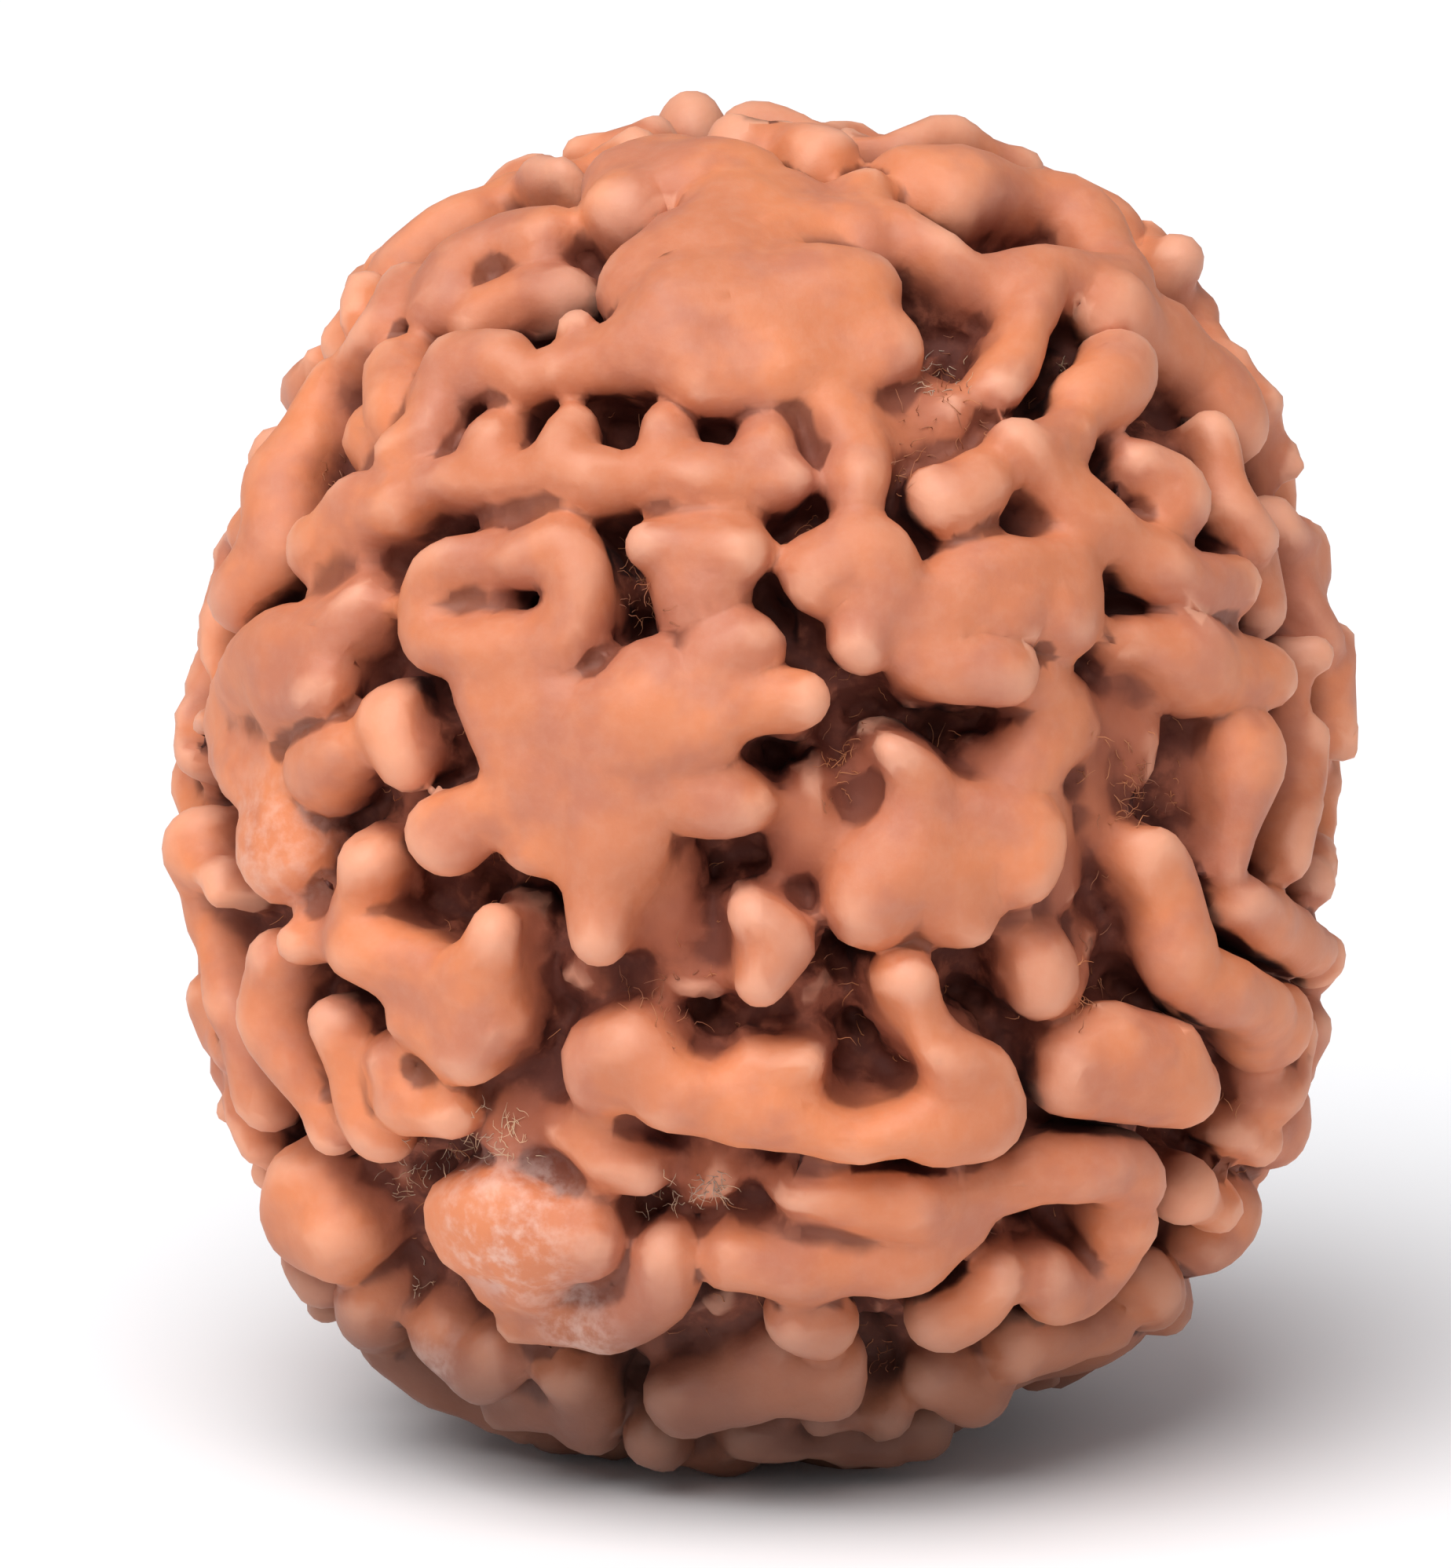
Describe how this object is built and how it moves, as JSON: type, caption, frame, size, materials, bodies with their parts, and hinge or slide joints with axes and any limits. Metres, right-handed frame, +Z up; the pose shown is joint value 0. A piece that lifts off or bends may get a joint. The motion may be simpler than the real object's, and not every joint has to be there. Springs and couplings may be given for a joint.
{
  "type": "rudraksha bead",
  "caption": "Egg-shaped rudraksha bead: the ribbed stone of the fruit, with winding rounded ridges, deep furrows, a pit at each pole where a thread canal opens, and a small flat resting spot.",
  "frame": {"origin": "bottom centre of the bead's box, on the surface that it rests on", "axes": "+Z up from pole to pole, along the thread's line, -Y towards the side that the picture shows, +X to that view's right"},
  "size_m": [0.0218, 0.0218, 0.0249],
  "materials": {
    "bead": "satin"
  },
  "bodies": {
    "root": {"bead": "bead"}
  },
  "joints": []
}
